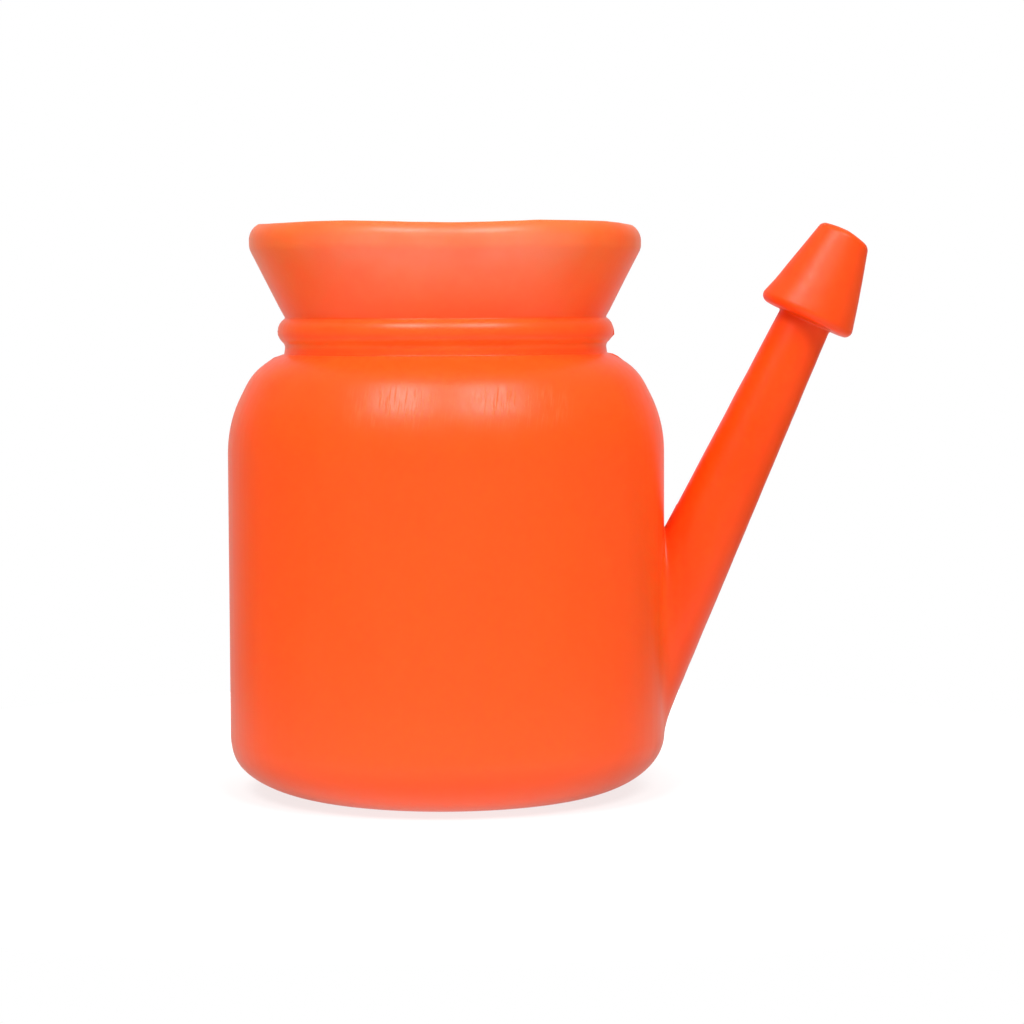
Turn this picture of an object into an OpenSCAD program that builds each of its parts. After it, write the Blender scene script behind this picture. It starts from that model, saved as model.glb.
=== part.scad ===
// Neti pot: a wide-mouthed plastic pot with a slanting spout and a cone-shaped nose piece,
// blow-moulded hollow in one piece. The body stands on Z, the spout leans towards +X,
// and the mould's parting plane is Y = 0. The origin is the middle of the base plane.

/* [Body] */
// Outside diameter of the straight wall
body_d = 85; // [80:0.5:100]
// Height at which the straight wall ends and the shoulder begins
wall_h = 66.2; // [58:0.2:80]
// Thickness of the moulded wall of the body
wall = 1.5; // [1:0.1:1.9]
// Width of the rounded corner at the base, along the radius
base_corner_w = 17; // [8:0.5:19]
// Height of the rounded corner at the base
base_corner_h = 11.2; // [6:0.2:13]

/* [Under the base] */
// Width of the flat ring that the pot stands on
foot_ring_w = 3.5; // [2:0.1:6]
// Rise of the hollow that is pushed up inside the ring
push_up_h = 2.2; // [1.6:0.1:4]
// Length of the pinch-off seam, where the mould closed the hot tube
pinch_l = 32; // [20:1:34]
// Width of the pinch-off seam
pinch_w = 1.2; // [0.8:0.1:2]
// Height of the pinch-off seam
pinch_h = 0.5; // [0.3:0.1:0.6]

/* [Shoulder and neck] */
// Height of the shoulder's elliptic curve
shoulder_h = 20; // [15:0.2:24]
// Distance inside the neck at which the shoulder's curve would be level
shoulder_tuck = 4.3; // [2:0.1:8]
// Outside diameter of the neck
neck_d = 62.2; // [57:0.2:67]
// Height of the plain neck between the shoulder and the bead
neck_h = 1.9; // [1:0.1:4]
// Radius of the bead's round section
bead_r = 2.8; // [2.4:0.1:3.6]
// How far the bead stands out from the neck
bead_out = 1.5; // [1:0.1:1.9]
// Height of the plain neck between the bead and the flare
bead_gap = 0.3; // [0.1:0.1:1.5]

/* [Mouth] */
// Height of the flare from the neck to the trimmed edge
flare_h = 17.9; // [14:0.1:24]
// Outside diameter of the lip
lip_d = 75.6; // [72:0.2:80]
// Radius of the lip's round section
lip_r = 3.5; // [2.8:0.1:4.5]
// Height of the upright band round the lip
lip_band_h = 0.7; // [0.3:0.1:1.5]
// Angle through which the lip turns in from upright before it is trimmed
lip_turn = 62; // [45:1:75]

/* [Spout] */
// Lean of the spout from upright
spout_lean = 25.5; // [24:0.5:32]
// Height at which the spout's axis leaves the wall
spout_z = 33.7; // [32:0.1:38]
// Length of the spout's axis from the wall to the nose piece
spout_l = 64.1; // [50:0.1:75]
// Outside diameter of the spout where its axis leaves the wall
spout_root_d = 16.3; // [14:0.1:18]
// Outside diameter of the spout under the nose piece
spout_top_d = 10.5; // [9:0.1:12]
// Thickness of the moulded wall of the spout and the nose piece
spout_wall = 1.3; // [1:0.1:1.8]

/* [Nose piece] */
// Largest outside diameter of the nose piece
nose_d = 18.6; // [16:0.2:22]
// Height of the nose piece from its flat underside to the shoulder of its tip
nose_h = 18.9; // [15:0.1:22]
// Taper of the nose piece, from its axis to its side
nose_taper = 14.1; // [10:0.1:15]
// Radius of the nose piece's lower edge
nose_edge_r = 2; // [1.9:0.1:2.6]
// Radius of the edge round the tip
tip_edge_r = 2; // [1.9:0.1:2.4]
// Rise of the domed tip
tip_dome_h = 0.4; // [0.2:0.1:1]
// Diameter of the outlet hole in the tip
outlet_d = 4.5; // [3.5:0.1:5]

/* [Hidden] */
$fn = 120;
// Angle between the points of an arc, and the number of steps along a dome
arc_step = 6;
dome_steps = 8;

plastic = [1, 0.36, 0.12];
body_r = body_d / 2;
neck_r = neck_d / 2;
push_up_r = body_r - base_corner_w - foot_ring_w;

// The shoulder runs from the wall to the neck, on an ellipse that would level out inside it
shoulder_w = body_r - neck_r + shoulder_tuck;
function shoulder_end(inset) = acos((shoulder_tuck - inset) / (shoulder_w - inset));
neck_z = wall_h + shoulder_h * sin(shoulder_end(0));

// The bead, the flare and the lip are stacked on the neck
bead_axis_r = neck_r + bead_out - bead_r;
function bead_half(inset) = acos((neck_r - inset - bead_axis_r) / (bead_r - inset));
bead_z = neck_z + neck_h + bead_r * sin(bead_half(0));
flare_z = bead_z + bead_r * sin(bead_half(0)) + bead_gap;
lip_axis_r = lip_d / 2 - lip_r;
lip_top_z = flare_z + flare_h - lip_r * sin(lip_turn);
lip_low_z = lip_top_z - lip_band_h;

// The flare is the line from the neck that is tangent to the lip's round section
flare_run = lip_axis_r - neck_r;
flare_rise = lip_low_z - flare_z;
flare_angle = atan(flare_run / flare_rise) + asin(lip_r / norm([flare_run, flare_rise]));

// The spout's cone runs on into the body until its underside is through the wall
spout_taper = (spout_root_d - spout_top_d) / 2 / spout_l;
root_depth = spout_root_d / 2 / (tan(spout_lean) - spout_taper) + wall;

// Points along an ellipse's arc from one angle to another
function arc(centre, radii, from, to) =
    let (steps = ceil(abs(to - from) / arc_step))
    [for (i = [0 : steps])
        let (a = from + (to - from) * i / steps)
        centre + [radii[0] * cos(a), radii[1] * sin(a)]];

// Points along a dome from its top at the axis down to its rim
function dome(rim_r, rim_z, rise) =
    [for (i = [0 : dome_steps])
        [rim_r * i / dome_steps, rim_z + rise * (1 - pow(i / dome_steps, 2))]];

// Side of the body from the base corner to the lip, inset from the outer surface
function side(inset, lip_end) = concat(
    arc([body_r - base_corner_w, base_corner_h],
        [base_corner_w - inset, base_corner_h - inset], -90, 0),
    arc([body_r - shoulder_w, wall_h],
        [shoulder_w - inset, shoulder_h - inset], 0, shoulder_end(inset)),
    arc([bead_axis_r, bead_z],
        [bead_r - inset, bead_r - inset], -bead_half(inset), bead_half(inset)),
    [[neck_r - inset, flare_z + inset * tan(flare_angle / 2)]],
    arc([lip_axis_r, lip_low_z], [lip_r - inset, lip_r - inset], -flare_angle, 0),
    arc([lip_axis_r, lip_top_z], [lip_r - inset, lip_r - inset], 0, lip_end)
);

// Outside of the body, with the start of the waste dome that is trimmed from the lip
module body_outside() {
    rotate_extrude()
        polygon(concat(
            dome(push_up_r, 0, push_up_h),
            side(0, 90),
            [[0, lip_top_z + lip_r]]
        ));
}

// Hollow of the body, opened through the lip by the trimming cut, square to the wall
module body_hollow() {
    cut_end = lip_r + wall;
    rotate_extrude()
        polygon(concat(
            dome(push_up_r, wall, push_up_h),
            side(wall, lip_turn),
            [[lip_axis_r + cut_end * cos(lip_turn), lip_top_z + cut_end * sin(lip_turn)],
             [0, lip_top_z + cut_end * sin(lip_turn)]]
        ));
}

// Places a child drawn along Z on the spout's axis, with zero where the axis leaves the wall
module on_spout_axis() {
    translate([body_r, 0, spout_z])
        rotate([0, spout_lean, 0])
            children();
}

// The spout's cone, inset from its outer surface, up to a length along its axis
module spout(inset, top_l) {
    on_spout_axis()
        translate([0, 0, -root_depth])
            cylinder(
                h = root_depth + top_l,
                r1 = spout_root_d / 2 + spout_taper * root_depth - inset,
                r2 = spout_root_d / 2 - spout_taper * top_l - inset
            );
}

// Section of the nose piece: a cone with a rounded lower edge and a domed, rounded tip
function nose_section(inset) =
    let (
        edge = [nose_d / 2 - nose_edge_r, nose_edge_r],
        tip_z = nose_h - tip_edge_r,
        tip_r = edge[0] + (nose_edge_r - tip_edge_r) / cos(nose_taper)
            - (tip_z - edge[1]) * tan(nose_taper),
        tip_dome = dome(tip_r, nose_h - inset, tip_dome_h)
    )
    concat(
        [[0, inset]],
        arc(edge, [nose_edge_r - inset, nose_edge_r - inset], -90, nose_taper),
        arc([tip_r, tip_z], [tip_edge_r - inset, tip_edge_r - inset], nose_taper, 90),
        [for (i = [dome_steps - 1 : -1 : 0]) tip_dome[i]]
    );

module nose(inset) {
    on_spout_axis()
        translate([0, 0, spout_l])
            rotate_extrude()
                polygon(nose_section(inset));
}

// Outlet hole, long enough to pass from the hollow of the nose piece through its tip
module outlet() {
    on_spout_axis()
        translate([0, 0, spout_l + nose_h / 2])
            cylinder(h = nose_h, d = outlet_d);
}

// Ridge left across the hollow of the base, following its curve
module pinch_seam() {
    intersection() {
        translate([0, 0, -pinch_h])
            body_outside();
        translate([-pinch_l / 2, -pinch_w / 2, -pinch_h])
            cube([pinch_l, pinch_w, push_up_h + pinch_h]);
    }
}

module pot() {
    color(plastic)
        union() {
            difference() {
                union() {
                    body_outside();
                    spout(0, spout_l + spout_wall);
                    nose(0);
                }
                body_hollow();
                spout(spout_wall, spout_l + 2 * spout_wall);
                nose(spout_wall);
                outlet();
            }
            pinch_seam();
        }
}

pot();
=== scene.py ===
import math

import bmesh
import bpy
from mathutils import Matrix, Vector, noise


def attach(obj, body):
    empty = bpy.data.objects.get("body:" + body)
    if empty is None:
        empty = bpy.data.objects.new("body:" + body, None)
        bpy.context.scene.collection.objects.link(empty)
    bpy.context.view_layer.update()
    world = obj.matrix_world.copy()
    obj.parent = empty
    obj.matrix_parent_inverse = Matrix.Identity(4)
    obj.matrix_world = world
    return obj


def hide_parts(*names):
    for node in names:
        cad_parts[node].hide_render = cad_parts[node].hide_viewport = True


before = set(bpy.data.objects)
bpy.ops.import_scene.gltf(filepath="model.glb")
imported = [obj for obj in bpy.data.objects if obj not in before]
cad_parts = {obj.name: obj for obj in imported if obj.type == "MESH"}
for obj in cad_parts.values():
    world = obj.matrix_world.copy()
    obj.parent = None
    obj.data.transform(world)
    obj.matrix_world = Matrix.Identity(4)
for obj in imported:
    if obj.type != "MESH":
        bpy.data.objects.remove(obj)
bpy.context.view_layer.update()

# The pot is modelled in millimetres, about the middle of its base, and scaled to metres at the end
MM = 0.001

# Body: the wall is drawn slightly inside its nominal size, so that the parting line can stand proud of it
LINE_ROOM = 0.06
BODY_R = 42.5 - LINE_ROOM
WALL = 1.5
WALL_H = 66.2
BASE_CORNER_W = 17.0
BASE_CORNER_H = 11.2
PUSH_UP_R = 22.0
PUSH_UP_H = 2.2
FOOT_RING_W = 3.5 - LINE_ROOM
SHOULDER_H = 20.0
SHOULDER_TUCK = 4.3
NECK_R = 31.1
NECK_H = 1.9
BEAD_R = 2.8
BEAD_OUT = 1.5
BEAD_GAP = 0.3
FLARE_H = 17.9
LIP_OUT = 37.8
LIP_R = 3.5
LIP_BAND = 0.7
LIP_TURN = 62.0
SHOULDER_W = BODY_R - NECK_R + SHOULDER_TUCK

# Spout and nose piece, about an axis that leaves the wall at SPOUT_FOOT and leans away from the body
LEAN = math.radians(25.3)
SPOUT_FOOT = Vector((42.5, 0, 33.7))
SPOUT_L = 64.1
SPOUT_ROOT_R = 8.15
SPOUT_TOP_R = 5.25
SPOUT_WALL = 1.3
NOSE_R = 9.4
NOSE_H = 18.76
NOSE_TAPER = 14.1
NOSE_EDGE = 1.5
TIP_EDGE = 1.5
TIP_DOME = 0.4
OUTLET_R = 2.25
NARROWING = (SPOUT_ROOT_R - SPOUT_TOP_R) / SPOUT_L

# Blend between wall and spout: its reach over the wall and up the spout, each at the crotch, sides and foot
OUTER_BLEND = ((0.5, 4.0, 2.4), (1.2, 3.6, 4.5))
INNER_BLEND = ((1.0, 1.4, 1.4), (1.6, 1.8, 2.4))
ROOT_END = 22.0

# Fillets: how far each reaches along both sides of its corner
PUSH_UP_FILLET = 1.2
NECK_FILLET = 0.15
BEAD_FOOT_FILLET = 0.7
TRIM_FILLET = 0.14
STEM_TOP_FILLET = 0.6
OUTLET_FILLET = 0.3

# Mesh: columns round the body, rows up its profile, and the window in them where the spout is let in
COLUMNS = 192
PUSH_UP_ROWS = 14
CORNER_ROWS = 30
WALL_ROWS = 36
SHOULDER_ROWS = 20
BEAD_ROWS = 8
FLARE_ROWS = 12
LIP_LOW_ROWS = 8
LIP_TOP_ROWS = 12
TRIM_ROWS = 4
WINDOW_COLUMNS = 10
WINDOW_CORNER_ROWS = 8
WINDOW_WALL_ROWS = 29
BLEND_ROWS = 6
ROOT_ROWS = 14
STEM_ROWS = 18
NOSE_EDGE_ROWS = 10
NOSE_ROWS = 12
TIP_EDGE_ROWS = 8

# Seams: the parting line in the plane Y = 0, and the pinch-off seam across the pushed-up base
LINE_HALF_W = 0.42
LINE_CREST = 0.16
LINE_H = 0.07
PINCH_HALF_L = 16
PINCH_HALF_W = 0.62
PINCH_SLOPE = 0.6
PINCH_H = 0.5

# Flash on the parting line, where it was cut back by hand: place in X and Z, reach and height of each nub
FLASH = ((32.9, 84.9, 1.6, 0.35), (32.4, 89.3, 0.9, 0.45), (42.7, 50.2, 1.3, 0.5), (41.3, 7.0, 1.6, 0.25),
         (-42.4, 19.9, 1.0, 0.06), (-32.4, 89.4, 0.9, 0.2), (-33.4, 84.4, 1.4, 0.15))

# How this one pot strays from its design: each swell has a size, a middle and a reach
SHOULDER_SWELL = (0.55, 82.6, 5.5)
BASE_SWELL = (0.5, 5.0, 5.5)
NOSE_FLANGE = (0.2, SPOUT_L + 1.5, 4.0)
FLARE_SWELL = 0.2
TIP_FALL = 0.65
WALL_UNEVEN = 0.03
UPPER_UNEVEN = 0.06
SKIN_DEPTH = 0.045
# Dips of the lip: mean depth, unevenness, and waves with the times each goes round, its depth and its turn
LIP_DIP = 0.14
LIP_UNEVEN = 0.04
LIP_WAVES = ((2, 0.09, 2.1), (3, 0.18, -0.8), (5, 0.22, 1.0))
# Heights between which the flare's swell, the dips and the upper wall's unevenness come in
FLARE_SWELL_Z = (91, 94)
LIP_DIP_Z = (95, 108)
UPPER_UNEVEN_Z = (60, 95)
# Beyond this place in X there is only the spout
SPOUT_X = 45


def arc(centre, radii, start, end, steps):
    """Points along an ellipse, from one angle to another in degrees."""
    angles = [math.radians(start + (end - start) * i / steps) for i in range(steps + 1)]
    return [(centre[0] + radii[0] * math.cos(a), centre[1] + radii[1] * math.sin(a)) for a in angles]


def between(start, end, steps):
    """Points along a straight line, without its ends."""
    return [tuple(a + (b - a) * i / steps for a, b in zip(start, end)) for i in range(1, steps)]


def ramp(value, start, end):
    """Rises evenly from 0 at the start to 1 at the end."""
    return min(1.0, max(0.0, (value - start) / (end - start)))


def bump(value, size, middle, reach):
    """Rises smoothly to its size at the middle, from 0 at that reach to either side."""
    gap = abs(value - middle) / reach
    return size * math.cos(gap * math.pi / 2) ** 2 if gap < 1 else 0.0


def rounded(points, corners):
    """A profile's points in order, with each named corner rounded over its reach along both sides."""
    bm = bmesh.new()
    verts = [bm.verts.new((across, 0, up)) for across, up in points]
    for pair in zip(verts, verts[1:]):
        bm.edges.new(pair)
    for reach in sorted(set(corners.values())):
        bmesh.ops.bevel(bm, geom=[verts[i] for i in corners if corners[i] == reach], offset=reach,
                        offset_type="OFFSET", segments=5, profile=0.5, affect="VERTICES", material=-1)
    walk = [verts[0]]
    while len(walk) < len(bm.verts):
        walk.append(next(e.other_vert(walk[-1]) for e in walk[-1].link_edges
                         if len(walk) < 2 or e.other_vert(walk[-1]) is not walk[-2]))
    made = [(vert.co.x, vert.co.z) for vert in walk]
    bm.free()
    return made


def wall_radius(height, inset):
    """Radius of the body in its base corner and its straight wall."""
    if height >= BASE_CORNER_H:
        return BODY_R - inset
    drop = (BASE_CORNER_H - height) / (BASE_CORNER_H - inset)
    return BODY_R - BASE_CORNER_W + (BASE_CORNER_W - inset) * math.sqrt(max(0.0, 1 - drop * drop))


def body_side(inset):
    """The body's profile from the middle of its base to its trimmed lip, inset from the outer surface."""
    shoulder_end = math.degrees(math.acos((SHOULDER_TUCK - inset) / (SHOULDER_W - inset)))
    neck_z = WALL_H + SHOULDER_H * math.sin(math.acos(SHOULDER_TUCK / SHOULDER_W))
    bead_axis = NECK_R + BEAD_OUT - BEAD_R
    bead_half = math.degrees(math.acos((NECK_R - inset - bead_axis) / (BEAD_R - inset)))
    bead_rise = BEAD_R * math.sin(math.acos((NECK_R - bead_axis) / BEAD_R))
    bead_z = neck_z + NECK_H + bead_rise
    flare_z = bead_z + bead_rise + BEAD_GAP
    lip_axis = LIP_OUT - LIP_R
    lip_top = flare_z + FLARE_H - LIP_R * math.sin(math.radians(LIP_TURN))
    lip_low = lip_top - LIP_BAND
    run, rise = lip_axis - NECK_R, lip_low - flare_z
    flare = math.degrees(math.atan(run / rise) + math.asin(LIP_R / math.hypot(run, rise)))
    points = [(PUSH_UP_R * i / PUSH_UP_ROWS, inset + PUSH_UP_H * (1 - (i / PUSH_UP_ROWS) ** 2))
              for i in range(PUSH_UP_ROWS + 1)]
    corners = {len(points) - 1: PUSH_UP_FILLET}
    points += [(PUSH_UP_R + FOOT_RING_W / 2, inset)]
    points += arc((BODY_R - BASE_CORNER_W, BASE_CORNER_H), (BASE_CORNER_W - inset, BASE_CORNER_H - inset),
                  -90, 0, CORNER_ROWS)
    points += between((BODY_R - inset, BASE_CORNER_H), (BODY_R - inset, WALL_H), WALL_ROWS)
    points += arc((BODY_R - SHOULDER_W, WALL_H), (SHOULDER_W - inset, SHOULDER_H - inset),
                  0, shoulder_end, SHOULDER_ROWS)
    corners[len(points) - 1] = NECK_FILLET
    # The bead's round is tighter inside, so the fillet at its foot is smaller there
    corners[len(points)] = BEAD_FOOT_FILLET - 0.3 * inset
    points += arc((bead_axis, bead_z), (BEAD_R - inset, BEAD_R - inset), -bead_half, bead_half, BEAD_ROWS)
    corners[len(points) - 1] = NECK_FILLET
    points += [(NECK_R - inset, flare_z + inset * math.tan(math.radians(flare / 2)))]
    corners[len(points) - 1] = NECK_FILLET
    lip = arc((lip_axis, lip_low), (LIP_R - inset, LIP_R - inset), -flare, 0, LIP_LOW_ROWS)
    points += between(points[-1], lip[0], FLARE_ROWS) + lip
    points += arc((lip_axis, lip_top), (LIP_R - inset, LIP_R - inset), 0, LIP_TURN, LIP_TOP_ROWS)
    return points, corners


def spun_body():
    """The body's shell, spun from a profile up its outside, over the trimmed edge and down its inside."""
    outside, corners = body_side(0.0)
    inside, inner_corners = body_side(WALL)
    outside, inside = rounded(outside, corners), rounded(inside, inner_corners)
    edge = len(outside) - 1
    trimmed = between(outside[-1], inside[-1], TRIM_ROWS)
    profile = rounded(outside + trimmed + inside[::-1], {edge: TRIM_FILLET, edge + TRIM_ROWS: TRIM_FILLET})
    bm = bmesh.new()
    outer_side = bm.verts.layers.float.new("outer_side")
    verts = [bm.verts.new((across, 0, up)) for across, up in profile]
    # The outer side ends half-way round the fillet at the trimmed edge
    for vert in verts[:edge + 3]:
        vert[outer_side] = 1.0
    edges = [bm.edges.new(pair) for pair in zip(verts, verts[1:])]
    bmesh.ops.spin(bm, geom=verts + edges, cent=(0, 0, 0), axis=(0, 0, 1), dvec=(0, 0, 0),
                   angle=2 * math.pi, steps=COLUMNS, use_merge=True, use_duplicate=False)
    bmesh.ops.remove_doubles(bm, verts=bm.verts[:], dist=1e-4)
    return bm


def window_rims(bm):
    """Opens the spout's window in the outer and the inner wall, and gives each rim from its lowest point."""
    outer_side = bm.verts.layers.float["outer_side"]
    half_width = 2 * math.pi * WINDOW_COLUMNS / COLUMNS
    highest = BASE_CORNER_H + (WALL_H - BASE_CORNER_H) * WINDOW_WALL_ROWS / WALL_ROWS
    low_turn = math.sin(math.radians(90 * WINDOW_CORNER_ROWS / CORNER_ROWS))
    rims = []
    for side, inset in ((1.0, 0.0), (0.0, WALL)):
        lowest = BASE_CORNER_H - (BASE_CORNER_H - inset) * low_turn
        taken = []
        for face in bm.faces:
            middle = face.calc_center_median()
            if (all(v[outer_side] == side for v in face.verts) and lowest < middle.z < highest
                    and middle.x > PUSH_UP_R and abs(math.atan2(middle.y, middle.x)) < half_width):
                taken.append(face)
        bmesh.ops.delete(bm, geom=taken, context="FACES")
        linked = {}
        for edge in bm.edges:
            if edge.is_boundary and edge.verts[0][outer_side] == side:
                for vert in edge.verts:
                    linked.setdefault(vert, []).append(edge.other_vert(vert))
        start = min((v for v in linked if abs(v.co.y) < 1e-3), key=lambda v: v.co.z)
        rim = [start, max(linked[start], key=lambda v: v.co.y)]
        while len(rim) < len(linked):
            rim.append(next(v for v in linked[rim[-1]] if v is not rim[-2]))
        rims.append(rim)
    return rims


def on_spout(length, radius, turn):
    """Point at a length up the spout's axis, at a radius and a turn from the side away from the body."""
    along = Vector((math.sin(LEAN), 0, math.cos(LEAN)))
    away = Vector((math.cos(LEAN), 0, -math.sin(LEAN)))
    return SPOUT_FOOT + along * length + (away * math.cos(turn) + Vector((0, math.sin(turn), 0))) * radius


def on_cone(length, inset, turn):
    """Point on the spout's cone at a length and a turn, inset from its outer surface."""
    return on_spout(length, SPOUT_ROOT_R - NARROWING * length - inset, turn)


def meeting(turn, inset, wall_r):
    """Length up the axis at which the cone comes out through the body's wall, at that turn."""
    start = on_cone(0, inset, turn)
    step = on_cone(1, inset, turn) - start
    square = step.x ** 2 + step.y ** 2
    half = start.x * step.x + start.y * step.y
    rest = start.x ** 2 + start.y ** 2 - wall_r ** 2
    return (math.sqrt(half * half - square * rest) - half) / square


def unrolled(point, wall_r):
    """A point on the wall as its distance round the wall and its height."""
    return Vector((math.atan2(point.y, point.x) * wall_r, point.z))


def rolled(place, wall_r, inset):
    """The unrolled place put back round the body, at the radius that the body has at that height."""
    angle, radius = place.x / wall_r, wall_radius(place.y, inset)
    return Vector((radius * math.cos(angle), radius * math.sin(angle), place.y))


def eased(turn, sizes):
    """A size that changes round the spout's root, from the crotch over the sides to the foot."""
    crotch, side, foot = sizes
    end = foot if math.cos(turn) > 0 else crotch
    return end + (side - end) * math.sin(turn) ** 2


def blend_start(turn, inset, wall_r, reach):
    """Where the blend leaves the unrolled wall: outside the meeting curve, by the blend's reach."""
    here, before, after = (unrolled(on_cone(meeting(t, inset, wall_r), inset, t), wall_r)
                           for t in (turn, turn - 0.01, turn + 0.01))
    ahead = (after - before).normalized()
    return here + Vector((ahead.y, -ahead.x)) * eased(turn, reach)


def walked(points):
    """Distance gone at each of the points along their line."""
    gone = [0.0]
    for before, after in zip(points, points[1:]):
        gone.append(gone[-1] + (after - before).length)
    return gone


def turns_of(rim):
    """The turn round the spout of each vertex on the window's rim, shared out evenly by length."""
    half = len(rim) // 2
    count = 400
    samples = [math.pi * i / count for i in range(count + 1)]
    curve = walked([blend_start(turn, 0.0, BODY_R, OUTER_BLEND[0]) for turn in samples])
    way = walked([unrolled(vert.co, BODY_R) for vert in rim[:half + 1]])
    turns, at = [], 0
    for gone in way:
        goal = gone / way[-1] * curve[-1]
        while at < count - 1 and curve[at + 1] < goal:
            at += 1
        share = (goal - curve[at]) / (curve[at + 1] - curve[at])
        turns.append(samples[at] + (samples[at + 1] - samples[at]) * share)
    return turns + [-turn for turn in turns[-2:0:-1]]


def root_rings(rim, turns, inset, wall_r, blend, rows):
    """Rings from the window's rim over the wall, through the blend and up to ROOT_END on the cone."""
    start = [unrolled(vert.co, wall_r) for vert in rim]
    end = [blend_start(turn, inset, wall_r, blend[0]) for turn in turns]
    rings = []
    for row in range(1, rows + 1):
        rings.append([rolled(a.lerp(b, row / rows), wall_r, inset) for a, b in zip(start, end)])
    low = [meeting(turn, inset, wall_r) for turn in turns]
    high = [length + eased(turn, blend[1]) for length, turn in zip(low, turns)]
    legs = list(zip(rings[-1],
                    [on_cone(length, inset, turn) for length, turn in zip(low, turns)],
                    [on_cone(length, inset, turn) for length, turn in zip(high, turns)]))
    for row in range(1, BLEND_ROWS + 1):
        s = row / BLEND_ROWS
        rings.append([a * (1 - s) ** 2 + b * 2 * s * (1 - s) + c * s * s for a, b, c in legs])
    for row in range(1, ROOT_ROWS + 1):
        rings.append([on_cone(length + (ROOT_END - length) * row / ROOT_ROWS, inset, turn)
                      for length, turn in zip(high, turns)])
    return rings


def nose_side(inset):
    """Side of the nose piece from its underside to its tip, as radii and lengths up the spout's axis."""
    edge = (NOSE_R - NOSE_EDGE, SPOUT_L + NOSE_EDGE)
    tip_z = SPOUT_L + NOSE_H - TIP_EDGE
    taper = math.radians(NOSE_TAPER)
    tip_r = edge[0] + (NOSE_EDGE - TIP_EDGE) / math.cos(taper) - (tip_z - edge[1]) * math.tan(taper)
    low = arc(edge, (NOSE_EDGE - inset, NOSE_EDGE - inset), -90, NOSE_TAPER, NOSE_EDGE_ROWS)
    high = arc((tip_r, tip_z), (TIP_EDGE - inset, TIP_EDGE - inset), NOSE_TAPER, 90, TIP_EDGE_ROWS)
    dome = []
    for share in (0.2, 0.4, 0.6, 0.8, 1.0):
        out = 1 - share * (1 - OUTLET_R / tip_r)
        rise = TIP_DOME * (1 - out ** 2)
        dome.append((tip_r - (tip_r - OUTLET_R) * share, SPOUT_L + NOSE_H - inset + rise))
    return low + between(low[-1], high[0], NOSE_ROWS) + high + dome


def stem_side(inset, top):
    """Side of the spout's stem from the end of its root to its top."""
    lengths = [ROOT_END + (top - ROOT_END) * row / STEM_ROWS for row in range(STEM_ROWS + 1)]
    return [(SPOUT_ROOT_R - NARROWING * length - inset, length) for length in lengths]


def spout_side():
    """The spout from its root over the nose piece to the outlet, and back down its hollow and the bore."""
    outer, inner = stem_side(0.0, SPOUT_L), stem_side(SPOUT_WALL, SPOUT_L + SPOUT_WALL)
    nose, hollow = nose_side(0.0), nose_side(SPOUT_WALL)
    points = outer + between(outer[-1], nose[0], 3) + nose
    corners = {len(outer) - 1: STEM_TOP_FILLET, len(points) - 1: OUTLET_FILLET}
    points += between(nose[-1], hollow[-1], 3) + hollow[::-1]
    points += between(hollow[0], inner[-1], 2) + inner[::-1]
    return rounded(points, corners)


def next_ring(bm, ring, places, side):
    """Extrudes a closed ring of vertices to its new places."""
    outer_side = bm.verts.layers.float["outer_side"]
    edges = [bm.edges.get(pair) for pair in zip(ring, ring[1:] + ring[:1])]
    grown = bmesh.ops.extrude_edge_only(bm, edges=edges)["geom"]
    made = {v for v in grown if isinstance(v, bmesh.types.BMVert)}
    following = [next(e.other_vert(v) for e in v.link_edges if e.other_vert(v) in made) for v in ring]
    for vert, place in zip(following, places):
        vert.co = place
        vert[outer_side] = side
    return following


def let_in_spout(bm):
    """Draws the spout out of the window's outer rim to the outlet, and down the bore to the inner rim."""
    rim, inner_rim = window_rims(bm)
    turns = turns_of(rim)
    ring = rim
    for places in root_rings(rim, turns, 0.0, BODY_R, OUTER_BLEND, 6):
        ring = next_ring(bm, ring, places, 1.0)
    side = 1.0
    for radius, length in spout_side()[1:-1]:
        # All that comes after the outlet is inside
        if radius < OUTLET_R + 0.2:
            side = 0.0
        # The tip falls a little to the far side, and the nose's lower edge stands out towards the body
        fall = TIP_FALL * ramp(length, SPOUT_L + 11, SPOUT_L + 18) * radius / 5
        flange = bump(length, *NOSE_FLANGE) * ramp(radius, 6, 8)
        places = []
        for turn in turns:
            away = math.cos(turn)
            places.append(on_spout(length - fall * max(0.0, away), radius + flange * max(0.0, -away), turn))
        ring = next_ring(bm, ring, places, side)
    back = root_rings(inner_rim, turns, SPOUT_WALL, BODY_R - WALL, INNER_BLEND, 5)
    for places in back[::-1] + [[vert.co.copy() for vert in inner_rim]]:
        ring = next_ring(bm, ring, places, 0.0)
    bmesh.ops.remove_doubles(bm, verts=ring + inner_rim, dist=1e-3)


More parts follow.
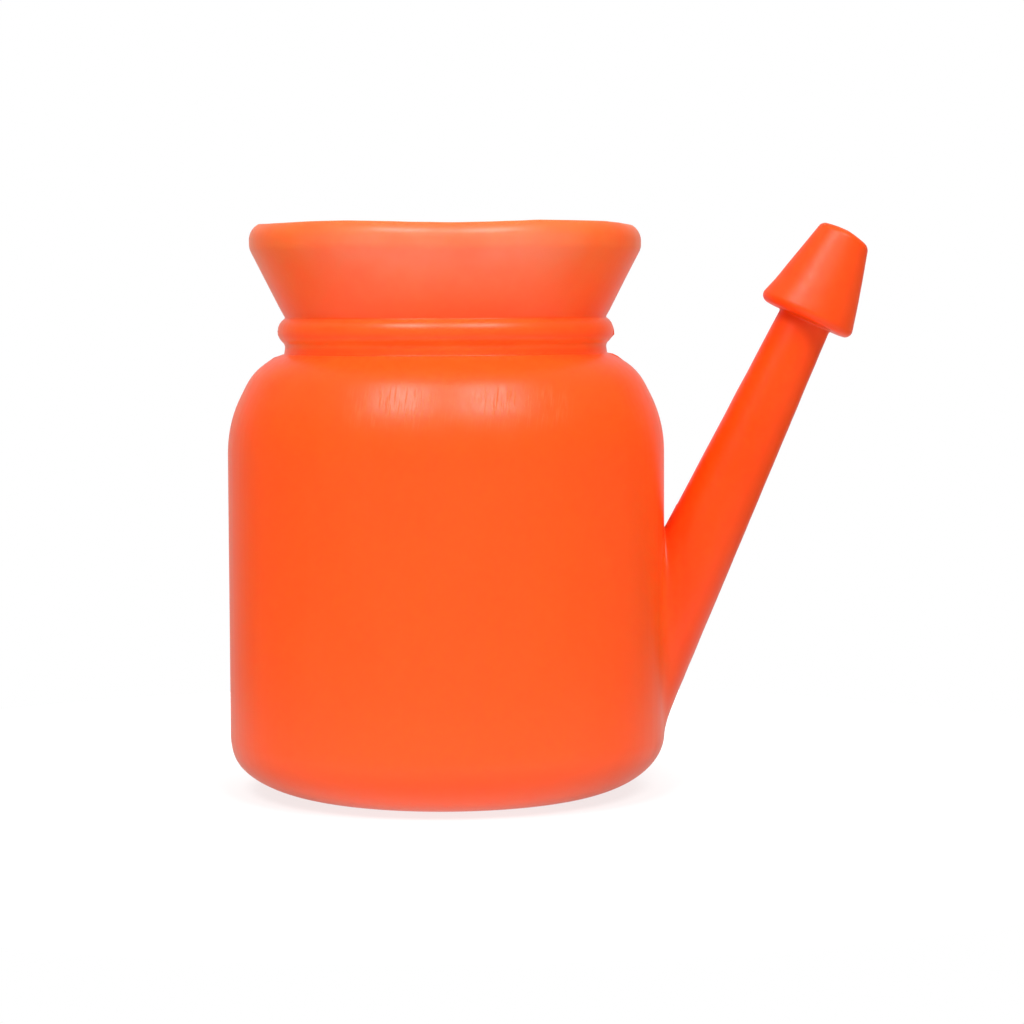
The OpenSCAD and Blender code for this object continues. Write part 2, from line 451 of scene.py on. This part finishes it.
def hand_trimmed(bm):
    """Lets the lip dip where the knife wandered, the wall swell in places, and the spout's skin ripple."""
    for vert in bm.verts:
        place = vert.co.copy()
        x, y, z = place
        if x > SPOUT_X:
            vert.co -= vert.normal * SKIN_DEPTH * (1 + noise.noise(place / 4))
            continue
        radius = math.hypot(x, y)
        if z > LIP_DIP_Z[0]:
            angle = math.atan2(y, x)
            dip = LIP_DIP + sum(depth * math.cos(times * angle + turn) for times, depth, turn in LIP_WAVES)
            dip += LIP_UNEVEN * noise.noise(Vector((x, y, 0)) / 4)
            vert.co.z -= max(0.0, dip) * ramp(z, *LIP_DIP_Z) ** 2
        if radius > 1 and z > 1:
            soft = noise.noise(place / 34) + 0.4 * noise.noise(place / 13 + Vector((7, 3, 1)))
            swell = bump(z, *SHOULDER_SWELL) + FLARE_SWELL * ramp(z, *FLARE_SWELL_Z)
            swell += UPPER_UNEVEN * ramp(z, *UPPER_UNEVEN_Z) * soft
            swell += max(0.0, -x / radius) * bump(z, *BASE_SWELL)
            swell -= WALL_UNEVEN * (0.4 + 0.6 * soft)
            vert.co.x += x / radius * swell
            vert.co.y += y / radius * swell


def parting_line(bm):
    """Raises the fine ridge where the mould's halves met, round the outer side in the plane Y = 0."""
    outer_side = bm.verts.layers.float["outer_side"]
    for place in (-LINE_HALF_W, -LINE_CREST, LINE_CREST, LINE_HALF_W):
        bmesh.ops.bisect_plane(bm, geom=bm.verts[:] + bm.edges[:] + bm.faces[:], dist=1e-4,
                               plane_co=(0, place, 0), plane_no=(0, 1, 0))
    bm.normal_update()
    moves = []
    for vert in bm.verts:
        near = 1 - abs(vert.co.y) / LINE_HALF_W
        if near < 0.01 or vert[outer_side] < 0.99 or vert.co.z < 0.3:
            continue
        height = LINE_H * (0.65 + 0.35 * noise.noise(vert.co / 6))
        for x, z, reach, rise in FLASH:
            gap = math.hypot(vert.co.x - x, vert.co.z - z) / reach
            height += rise * max(0.0, 1 - gap) ** 1.5
        # At the wall and the nose piece's far side, the ridge stays within the room left for it
        if vert.co.x < -40 or vert.co.x > 79:
            height = min(height, 0.05)
        moves.append((vert, vert.normal * height * min(1.0, near * 1.3)))
    for vert, move in moves:
        vert.co += move


def pinch_off(bm):
    """Draws down the seam across the pushed-up base, where the mould pinched the hot tube shut."""
    outer_side = bm.verts.layers.float["outer_side"]
    base = [f for f in bm.faces if all(v[outer_side] > 0.99 and v.co.z < PUSH_UP_H + 0.2
                                       and math.hypot(v.co.x, v.co.y) < PUSH_UP_R for v in f.verts)]
    across, along = Vector((0, 1, 0)), Vector((1, 0, 0))
    slope_end = PINCH_HALF_L - PINCH_SLOPE
    for square, at in ((across, PINCH_HALF_W), (across, -PINCH_HALF_W), (along, PINCH_HALF_L),
                       (along, -PINCH_HALF_L), (along, slope_end), (along, -slope_end)):
        cut = {e for f in base for e in f.edges} | set(base) | {v for f in base for v in f.verts}
        made = bmesh.ops.bisect_plane(bm, geom=list(cut), dist=1e-4, plane_co=square * at, plane_no=square)
        base = [g for g in made["geom"] if isinstance(g, bmesh.types.BMFace)]
    # What lies within the cuts goes down, most in the middle, where the parting line's cuts run too
    for vert in {v for f in base for v in f.verts}:
        if abs(vert.co.y) < PINCH_HALF_W - 0.02 and abs(vert.co.x) < slope_end + 0.1:
            crown = 1 - 0.25 * abs(vert.co.y) / LINE_HALF_W
            vert.co.z -= PINCH_H * crown * (0.9 + 0.1 * noise.noise(vert.co / 2))


def placed(bm, name):
    """Makes the mesh an object of the scene, in its place."""
    mesh = bpy.data.meshes.new(name)
    bm.to_mesh(mesh)
    bm.free()
    piece = bpy.data.objects.new(name, mesh)
    bpy.context.scene.collection.objects.link(piece)
    return piece


def moulded_pot():
    """The whole pot as one closed mesh, in metres."""
    bm = spun_body()
    let_in_spout(bm)
    bmesh.ops.recalc_face_normals(bm, faces=bm.faces[:])
    hand_trimmed(bm)
    parting_line(bm)
    pinch_off(bm)
    for face in bm.faces:
        face.smooth = True
    bmesh.ops.scale(bm, vec=(MM, MM, MM), verts=bm.verts[:])
    return placed(bm, "moulded_pot")


def linear(colour):
    """An sRGB hex colour as linear red, green and blue with an alpha of 1."""
    parts = [int(colour[i:i + 2], 16) / 255 for i in (1, 3, 5)]
    return [c / 12.92 if c <= 0.04045 else ((c + 0.055) / 1.055) ** 2.4 for c in parts] + [1.0]


def add(tree, kind, inputs=(), **settings):
    """Adds a node with its settings, and sets or links its inputs."""
    made = tree.nodes.new(kind)
    for name, value in settings.items():
        setattr(made, name, value)
    for socket, value in dict(inputs).items():
        if isinstance(value, bpy.types.NodeSocket):
            tree.links.new(value, made.inputs[socket])
        else:
            made.inputs[socket].default_value = value
    return made


def per_mm(size):
    """Scale of a noise whose patches are that many millimetres across."""
    return 1 / (size * MM)


def blow_moulded_polyethylene():
    """Orange polyethylene, blown against a satin-blasted mould: waxy, softly glossy, faintly streaked."""
    material = bpy.data.materials.new("blow_moulded_polyethylene")
    material.use_nodes = True
    tree = material.node_tree
    shader = tree.nodes["Principled BSDF"]
    place = add(tree, "ShaderNodeTexCoord").outputs["Object"]
    axes = add(tree, "ShaderNodeSeparateXYZ", {0: place}).outputs

    # Pigment lies unevenly in clouds about 14 mm across
    clouds = add(tree, "ShaderNodeTexNoise",
                 {"Vector": place, "Scale": per_mm(14), "Detail": 3, "Roughness": 0.55})
    # The die drew fine lines about 1.1 mm apart down the hot tube, some 60 mm long
    drawn = add(tree, "ShaderNodeMapping", {"Vector": place, "Scale": (1, 1, 0.02)})
    lines = add(tree, "ShaderNodeTexNoise", {"Vector": drawn.outputs[0], "Scale": per_mm(1.1), "Detail": 2})
    # Upright scuffs 0.15 mm wide and about 4 mm long, where pots rubbed together on the shoulder
    rubbed = add(tree, "ShaderNodeMapping",
                 {"Vector": place, "Rotation": (0, 0.12, 0), "Scale": (1, 20, 20)}, vector_type="TEXTURE")
    scuffs = add(tree, "ShaderNodeTexNoise",
                 {"Vector": rubbed.outputs[0], "Scale": per_mm(0.22), "Detail": 1})
    # Grain of the blasted mould, drawn at 0.5 mm so that it shows
    grain = add(tree, "ShaderNodeTexNoise", {"Vector": place, "Scale": per_mm(0.5), "Detail": 2})

    # Distances from the groove under the bead, from the middle of the scuffs and from the parting plane
    gaps = {}
    for name, axis, middle in (("groove_painted_light", "Z", 87.6), ("scuffs", "X", 3), ("plane", "Y", 0)):
        off = add(tree, "ShaderNodeMath", {0: axes[axis], 1: middle * MM}, operation="SUBTRACT")
        gaps[name] = add(tree, "ShaderNodeMath", {0: off.outputs[0]}, operation="ABSOLUTE").outputs[0]

    # Zones of the pot: what each goes by, the millimetres over which it comes in, and its least share
    zones = {}
    for name, along, start, end, least in (
            ("body", axes["X"], 46, 42, 0.0),
            ("spout", axes["X"], 42, 46, 0.0),
            ("nose_height", axes["Z"], 86, 94, 0.0),
            ("flare_height", axes["Z"], 87, 106, 0.0),
            ("groove_height", gaps["groove_painted_light"], 1.3, 0.2, 0.0),
            ("front_and_back", gaps["plane"], 25, 36, 0.0),
            ("lip_height", axes["Z"], 95, 104, 0.0),
            ("below_curl", axes["Z"], 110.3, 107.5, 0.1),
            ("scuffs_from", axes["Z"], 71.5, 74.5, 0.0),
            ("scuffs_to", axes["Z"], 81, 78, 0.0),
            ("beside_middle", gaps["scuffs"], 3, 6, 0.4),
            ("near_middle", gaps["scuffs"], 22, 18, 0.0)):
        zones[name] = add(tree, "ShaderNodeMapRange", {"Value": along, "From Min": start * MM,
                                                       "From Max": end * MM, "To Min": least}).outputs[0]
    # The marks of the scuffs and the clouds come out of their noises
    for name, pattern, start, end, most in (
            ("marks", scuffs, 0.55, 0.62, 1.0),
            ("clouds", clouds, 0.35, 0.65, 0.35)):
        zones[name] = add(tree, "ShaderNodeMapRange", {"Value": pattern.outputs["Fac"], "From Min": start,
                                                       "From Max": end, "To Max": most}).outputs[0]
    # Zones that lie only where several others meet
    for name, parts in (
            ("flare", ("flare_height", "body")),
            ("groove_painted_light", ("groove_height", "body")),
            ("lip", ("lip_height", "below_curl", "front_and_back")),
            ("nose_piece", ("spout", "nose_height")),
            ("scuffed", ("scuffs_from", "scuffs_to", "beside_middle", "near_middle", "body", "marks"))):
        zones[name] = zones[parts[0]]
        for part in parts[1:]:
            both = add(tree, "ShaderNodeMath", {0: zones[name], 1: zones[part]}, operation="MULTIPLY")
            zones[name] = both.outputs[0]
    faint = add(tree, "ShaderNodeMath", {0: zones["scuffed"], 1: 0.2}, operation="MULTIPLY")
    zones["faint_scuffs"] = faint.outputs[0]

    # The spout kept the thickest and reddest wall, and over its colour the others are laid in turn
    colour = linear("#FE4505")
    for name, shade in (
            ("nose_height", "#FD490B"),
            ("body", "#FF5416"),
            # The flare was blown thin, and is painted paler towards the top: a painted glow of light coming
            # through the thin wall from the hollow
            ("flare", "#EE6A30"),
            # Painted light: the groove under the bead is painted paler, to lift the shade that falls in it
            # under the bead
            ("groove_painted_light", "#FF7A2D"),
            # Painted sheen: the lip is painted paler at its front and back, farthest from where the mould's
            # halves met, in place of a soft reflection on its round
            ("lip", "#F07B57"),
            ("clouds", "#FB5016"),
            ("faint_scuffs", "#FF7A45")):
        laid = add(tree, "ShaderNodeMix", {"Factor": zones[name], 6: colour, 7: linear(shade)},
                   data_type="RGBA")
        colour = laid.outputs[2]
    tree.links.new(colour, shader.inputs["Base Color"])

    # The skin is satin, duller in the scuffs and on the nose piece
    rough = add(tree, "ShaderNodeMapRange", {"Value": lines.outputs["Fac"], "From Min": 0.3, "From Max": 0.7,
                                             "To Min": 0.3, "To Max": 0.36})
    for name, more in (("scuffed", 0.25), ("nose_piece", 0.1)):
        rough = add(tree, "ShaderNodeMath", {0: zones[name], 1: more, 2: rough.outputs[0]},
                    operation="MULTIPLY_ADD")
    tree.links.new(rough.outputs[0], shader.inputs["Roughness"])

    # Relief of the drawn lines, the grain and the scuffs
    ridged = add(tree, "ShaderNodeBump",
                 {"Strength": 0.25, "Distance": 0.04 * MM, "Height": lines.outputs["Fac"]})
    for height, strength, depth in ((grain.outputs["Fac"], 0.2, 0.02), (zones["scuffed"], 0.25, 0.025)):
        ridged = add(tree, "ShaderNodeBump", {"Strength": strength, "Distance": depth * MM, "Height": height,
                                              "Normal": ridged.outputs[0]})
    tree.links.new(ridged.outputs[0], shader.inputs["Normal"])

    for name, value in (("IOR", 1.51), ("Specular IOR Level", 0.26), ("Subsurface Weight", 0.6),
                        ("Subsurface Radius", (1.0, 0.5, 0.2)), ("Subsurface Scale", 4.0 * MM)):
        shader.inputs[name].default_value = value
    return material


def table():
    """A small table of translucent white paper, lit from below so that the pot's shadow on it is faint."""
    bm = bmesh.new()
    bmesh.ops.create_circle(bm, cap_ends=True, segments=96, radius=0.16)
    floor = placed(bm, "floor")
    paper = bpy.data.materials.new("white_paper")
    paper.use_nodes = True
    tree = paper.node_tree
    shader = tree.nodes["Principled BSDF"]
    place = add(tree, "ShaderNodeTexCoord").outputs["Object"]
    axes = add(tree, "ShaderNodeSeparateXYZ", {0: place}).outputs
    away = add(tree, "ShaderNodeVectorMath", {0: place}, operation="LENGTH").outputs["Value"]
    levels = {}
    for name, along, start, end, least, most in (
            # What the camera sees is a little darker round the foot: a painted shadow in the paper's glow
            ("seen_with_painted_shadow", away, 0.04, 0.08, 0.78, 1.0),
            # What the table throws on the pot comes mostly from its front, and less from beside the foot,
            # where a shadow is painted into its glow
            ("front", axes["Y"], -0.02, -0.05, 0.5, 1.1),
            ("painted_shadow_beside_foot", away, 0.04, 0.07, 0.9, 1.0)):
        levels[name] = add(tree, "ShaderNodeMapRange", {"Value": along, "From Min": start, "From Max": end,
                                                        "To Min": least, "To Max": most}).outputs[0]
    thrown = add(tree, "ShaderNodeMath", {0: levels["front"], 1: levels["painted_shadow_beside_foot"]}, operation="MULTIPLY")
    camera_ray = add(tree, "ShaderNodeLightPath").outputs["Is Camera Ray"]
    lit = add(tree, "ShaderNodeMix", {"Factor": camera_ray, 2: thrown.outputs[0], 3: levels["seen_with_painted_shadow"]})
    tree.links.new(lit.outputs[0], shader.inputs["Emission Strength"])
    for name, value in (("Base Color", linear("#808080")), ("Specular IOR Level", 0.0),
                        ("Emission Color", linear("#FFFFFF"))):
        shader.inputs[name].default_value = value
    floor.data.materials.append(paper)


def surroundings():
    """White to the camera, and to the pot a dim room with a pale ceiling, a backdrop and paper below."""
    world = bpy.data.worlds.new("studio")
    bpy.context.scene.world = world
    world.use_nodes = True
    tree = world.node_tree
    rays = add(tree, "ShaderNodeLightPath").outputs
    clear = add(tree, "ShaderNodeMath", {0: rays["Is Camera Ray"], 1: rays["Is Transmission Ray"]},
                operation="MAXIMUM")
    towards = add(tree, "ShaderNodeTexCoord").outputs["Generated"]
    axes = add(tree, "ShaderNodeSeparateXYZ", {0: towards}).outputs
    back = add(tree, "ShaderNodeVectorMath", {0: towards, 1: (-0.08, 1.0, 0.0)},
               operation="DOT_PRODUCT").outputs["Value"]
    levels = {}
    for name, along, start, end, least, most in (
            # The pot mirrors a pale ceiling, and the white backdrop only straight behind it
            ("backdrop_mirrored", back, 0.58, 0.97, 0.03, 0.66),
            ("ceiling_mirrored", axes["Z"], 0.35, 0.85, 0.03, 0.5),
            # What lights its dull side comes more from the front than from the sides
            ("room", axes["Y"], -0.1, -0.9, 0.26, 0.38),
            # The backdrop lights its far side
            ("backdrop", back, 0.3, 0.8, 0.0, 0.8),
            # White paper hangs down from the table's edge, and lights the flare from underneath
            ("paper", axes["Y"], -0.1, -0.9, 0.88, 1.08),
            ("below", axes["Z"], 0.05, -0.2, 0.0, 1.0)):
        levels[name] = add(tree, "ShaderNodeMapRange", {"Value": along, "From Min": start, "From Max": end,
                                                        "To Min": least, "To Max": most}).outputs[0]
    mirrored = add(tree, "ShaderNodeMath", {0: levels["backdrop_mirrored"], 1: levels["ceiling_mirrored"]},
                   operation="MAXIMUM")
    spread = add(tree, "ShaderNodeMath", {0: levels["room"], 1: levels["backdrop"]}, operation="ADD")
    fill = add(tree, "ShaderNodeMix", {"Factor": levels["below"], 2: spread.outputs[0], 3: levels["paper"]})
    felt = add(tree, "ShaderNodeMix",
               {"Factor": rays["Is Glossy Ray"], 2: fill.outputs[0], 3: mirrored.outputs[0]})
    strength = add(tree, "ShaderNodeMix", {"Factor": clear.outputs[0], 2: felt.outputs[0], 3: 1.0})
    tree.links.new(strength.outputs[0], tree.nodes["Background"].inputs["Strength"])
    tree.nodes["Background"].inputs["Color"].default_value = linear("#FFFFFF")


def lamps():
    """Two soft lamps above the camera, to its left and right."""
    pot_middle = Vector((0.01, 0, 0.06))
    for name, across, width in (("left_softbox", -0.5, 0.66), ("right_softbox", 0.53, 0.76)):
        lamp = bpy.data.lights.new(name, "AREA")
        lamp.shape = "RECTANGLE"
        lamp.size, lamp.size_y = width, 0.5
        lamp.energy = 17.4
        holder = bpy.data.objects.new(name, lamp)
        spot = Vector((across, -0.9, 1.26))
        aim = (pot_middle - spot).to_track_quat("-Z", "Y").to_matrix().to_4x4()
        holder.matrix_world = Matrix.Translation(spot) @ aim
        bpy.context.scene.collection.objects.link(holder)


def photographer():
    """The camera at the photograph's height and distance, level but for a slight downward tilt and roll."""
    tilt, roll = 3.95, -0.237
    camera = bpy.data.cameras.new("camera")
    camera.sensor_width = 36
    camera.lens = 107.87
    holder = bpy.data.objects.new("camera", camera)
    holder.matrix_world = (Matrix.Translation((0.01276, -0.597757, 0.09568))
                           @ Matrix.Rotation(math.radians(90 - tilt), 4, "X")
                           @ Matrix.Rotation(math.radians(roll), 4, "Z"))
    bpy.context.scene.collection.objects.link(holder)
    bpy.context.scene.camera = holder
    bpy.context.scene.view_settings.view_transform = "Standard"


pot = moulded_pot()
pot.data.materials.append(blow_moulded_polyethylene())
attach(pot, "root")
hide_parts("pot")
table()
surroundings()
lamps()
photographer()
